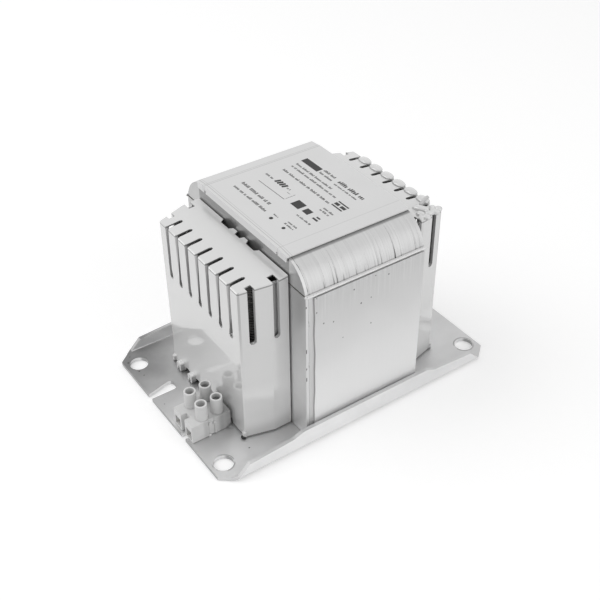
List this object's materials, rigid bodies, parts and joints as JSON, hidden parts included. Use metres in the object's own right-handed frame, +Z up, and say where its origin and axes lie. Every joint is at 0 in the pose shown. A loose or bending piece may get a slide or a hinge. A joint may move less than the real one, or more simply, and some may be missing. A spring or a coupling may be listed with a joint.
{
  "type": "ballast choke",
  "caption": "Magnetic ballast choke: laminated iron core on a folded base plate, slotted white coil covers, a label plate on top and a screw terminal strip at the front.",
  "frame": {"origin": "middle of the base plate's underside", "axes": "+Z up, out of the surface that the plate is fixed to; -Y towards the end with the terminal strip, which is the front; +X to the right seen from the front"},
  "size_m": [0.116, 0.17, 0.1058],
  "materials": {
    "plate_steel": "zinc-coated sheet, satin",
    "laminated_iron": "varnished edges of the laminations",
    "weld_metal": "rippled, satin",
    "side_film": "smooth, with faint streaks",
    "label_sheet": null,
    "white_plastic": "glossy moulding",
    "strip_plastic": "satin moulding",
    "former_plastic": "matt",
    "shim_board": "pressed board",
    "wire_enamel": "enamelled copper wire, dark",
    "brass": "machined",
    "screw_steel": "zinc-coated"
  },
  "bodies": {
    "root": {"base_plate": "plate_steel", "core_e_stack": "laminated_iron", "core_yoke_stack": "laminated_iron", "gap_shim_centre": "shim_board", "gap_shim_near": "shim_board", "gap_shim_far": "shim_board", "weld_bead_near": "weld_metal", "weld_bead_far": "weld_metal", "bobbin": "former_plastic", "winding": "wire_enamel", "front_coil_cover": "white_plastic", "rear_coil_cover": "white_plastic", "side_sheet_near": "side_film", "side_sheet_far": "side_film", "label_plate": "label_sheet", "terminal_body": "strip_plastic", "terminal_sleeve_1": "brass", "terminal_sleeve_2": "brass", "terminal_screw_1": "screw_steel", "terminal_screw_2": "screw_steel", "terminal_screw_3": "screw_steel", "terminal_screw_4": "screw_steel", "lead_wire_1": "white_plastic", "lead_wire_2": "white_plastic", "lead_end": "wire_enamel"}
  },
  "joints": []
}
